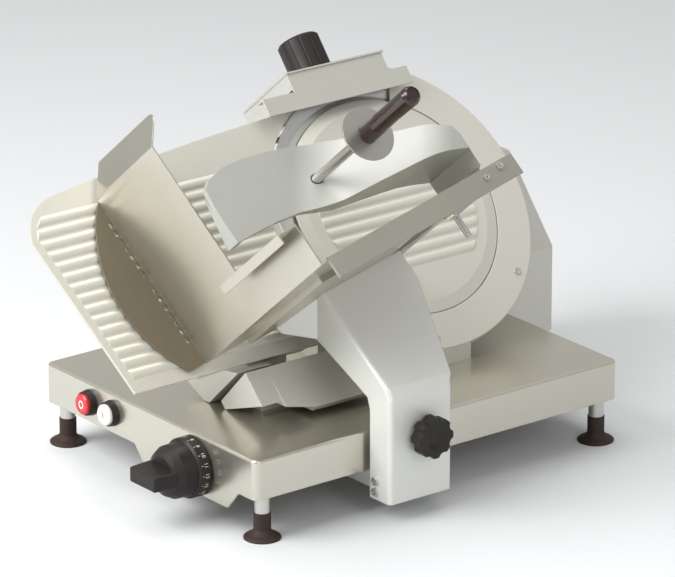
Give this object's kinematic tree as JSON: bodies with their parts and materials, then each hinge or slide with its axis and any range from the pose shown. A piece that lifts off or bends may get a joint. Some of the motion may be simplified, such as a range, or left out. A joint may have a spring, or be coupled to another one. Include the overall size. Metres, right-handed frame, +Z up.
{
  "type": "electric gravity-feed meat slicer",
  "caption": "Inclined deli meat slicer with a round blade, ribbed gauge plate, sliding food carriage with pusher and grip, thickness knob and top-mounted blade sharpener.",
  "frame": {"origin": "centre of the outline, on the surface it stands on", "axes": "+Z up, -Y towards the operator, +X the carriage side"},
  "size_m": [0.5458, 0.786, 0.5762],
  "materials": {
    "cast_aluminium": "satin cast and brushed",
    "cool_grey_casting": "satin lacquer",
    "stainless_sheet": "brushed",
    "brown_guard": "satin anodised",
    "bright_steel": "turned",
    "blade_steel": "ground",
    "black_plastic": "moulded",
    "brown_grip": "glossy moulded",
    "red_button": "glossy",
    "white_button": "glossy",
    "foot_rubber": "moulded",
    "stone": "abrasive, bonded grit"
  },
  "bodies": {
    "frame": {"base_body": "cast_aluminium", "base_bottom_plate": "stainless_sheet", "base_screws": "bright_steel", "foot_posts": "bright_steel", "foot_suction_cups": "foot_rubber", "motor_housing": "cast_aluminium", "service_cover": "cast_aluminium", "housing_screws": "bright_steel", "bearing_housing": "cast_aluminium", "blade_bearings": "bright_steel", "blade_bowl": "cast_aluminium", "ring_guard": "cast_aluminium", "ring_foot": "cast_aluminium", "motor_body": "cast_aluminium", "drive_belt": "foot_rubber", "button_collars": "black_plastic", "switch_blocks": "black_plastic", "cable_gland": "black_plastic", "gauge_slide_casting": "cast_aluminium", "gauge_guide_rods": "bright_steel", "carriage_guide_rods": "bright_steel", "sharpener_post": "cast_aluminium", "blade_cover": "cast_aluminium"},
    "blade_set": {"blade": "blade_steel", "blade_shaft": "bright_steel", "blade_screws": "bright_steel", "blade_pulley": "bright_steel"},
    "motor_drive": {"motor_pulley": "bright_steel"},
    "cover_rod": {"cover_tie_rod": "black_plastic"},
    "stop": {"stop_button": "red_button"},
    "start": {"start_button": "white_button"},
    "knob": {"thickness_dial": "black_plastic", "thickness_grip": "black_plastic", "thickness_spindle": "bright_steel"},
    "gauge": {"gauge_plate": "cast_aluminium", "gauge_carrier": "cast_aluminium", "gauge_screws": "bright_steel"},
    "carriage": {"carriage_slide_block": "cool_grey_casting", "carriage_link": "cool_grey_casting", "carriage_arm": "cool_grey_casting", "carriage_screws": "bright_steel", "end_wall": "stainless_sheet", "tray_floor": "stainless_sheet", "outer_rail": "stainless_sheet", "pusher_guide_rod": "bright_steel", "tray_support_plate": "stainless_sheet", "hand_guard": "brown_guard"},
    "lock": {"lock_knob": "black_plastic"},
    "pusher_slide": {"pusher_sleeve": "bright_steel"},
    "pusher": {"pusher_arm": "cool_grey_casting", "pusher_spikes": "bright_steel", "pusher_handle_rod": "bright_steel", "handle_guard_disc": "stainless_sheet", "pusher_grip": "brown_grip"},
    "sharpener": {"sharpener_casing": "cast_aluminium", "sharpener_top_plate": "cast_aluminium", "sharpener_block": "cast_aluminium"},
    "sharpener_knob_body": {"sharpener_knob": "black_plastic"},
    "grinding_wheel": {"grinding_stone": "stone"},
    "honing_wheel": {"honing_stone": "stone"}
  },
  "joints": [
    {"name": "blade_spin", "type": "hinge", "parent": "frame", "child": "blade_set", "pos_m": [-0.06834, 0.139, 0.284], "axis": [0.766, 0, 0.6428], "continuous": true},
    {"name": "motor_spin", "type": "hinge", "parent": "frame", "child": "motor_drive", "pos_m": [-0.06834, 0.289, 0.284], "axis": [0.766, 0, 0.6428], "continuous": true},
    {"name": "tie_rod_turn", "type": "hinge", "parent": "frame", "child": "cover_rod", "pos_m": [-0.25219, 0.139, 0.12973], "axis": [0.766, 0, 0.6428], "range_deg": [0, 720]},
    {"name": "stop_press", "type": "slide", "parent": "frame", "child": "stop", "axis": [0, 1, 0], "range_m": [0, 0.003], "stiffness_N_per_m": 500, "springref_m": -0.001},
    {"name": "start_press", "type": "slide", "parent": "frame", "child": "start", "axis": [0, 1, 0], "range_m": [0, 0.003], "stiffness_N_per_m": 500, "springref_m": -0.001},
    {"name": "gauge_slide", "type": "slide", "parent": "frame", "child": "gauge", "axis": [-1, 0, 0], "range_m": [0, 0.016]},
    {"name": "thickness_turn", "type": "hinge", "parent": "frame", "child": "knob", "pos_m": [0.05516, -0.273, 0.067], "axis": [0, -1, 0], "range_deg": [0, 300]},
    {"name": "carriage_travel", "type": "slide", "parent": "frame", "child": "carriage", "axis": [0, 1, 0], "range_m": [-0.11, 0.235]},
    {"name": "lock_turn", "type": "hinge", "parent": "carriage", "child": "lock", "pos_m": [0.22616, -0.04685, 0.108], "axis": [1, 0, 0], "range_deg": [0, 360]},
    {"name": "pusher_feed", "type": "slide", "parent": "carriage", "child": "pusher_slide", "axis": [0.766, 0, 0.6428], "range_m": [-0.15, 0.014]},
    {"name": "pusher_swing", "type": "hinge", "parent": "pusher_slide", "child": "pusher", "pos_m": [0.15498, 0.07519, 0.37568], "axis": [-0.766, 0, -0.6428], "range_deg": [0, 50]},
    {"name": "sharpener_lift", "type": "slide", "parent": "frame", "child": "sharpener", "axis": [-0.6428, 0, 0.766], "range_m": [0, 0.04]},
    {"name": "sharpener_knob_turn", "type": "hinge", "parent": "sharpener", "child": "sharpener_knob_body", "pos_m": [-0.20697, 0.115, 0.42744], "axis": [-0.6428, 0, 0.766], "range_deg": [0, 360]},
    {"name": "grinding_stone_spin", "type": "hinge", "parent": "sharpener", "child": "grinding_wheel", "pos_m": [-0.18987, 0.135, 0.40394], "axis": [0.766, 0, 0.6428], "continuous": true},
    {"name": "honing_stone_spin", "type": "hinge", "parent": "sharpener", "child": "honing_wheel", "pos_m": [-0.17277, 0.169, 0.4209], "axis": [0.766, 0, 0.6428], "continuous": true}
  ],
  "couplings": [
    {"joint": "motor_spin", "follows": "blade_spin", "ratio": 2.2727},
    {"joint": "thickness_turn", "follows": "gauge_slide", "rad_per_m": 327.25}
  ]
}
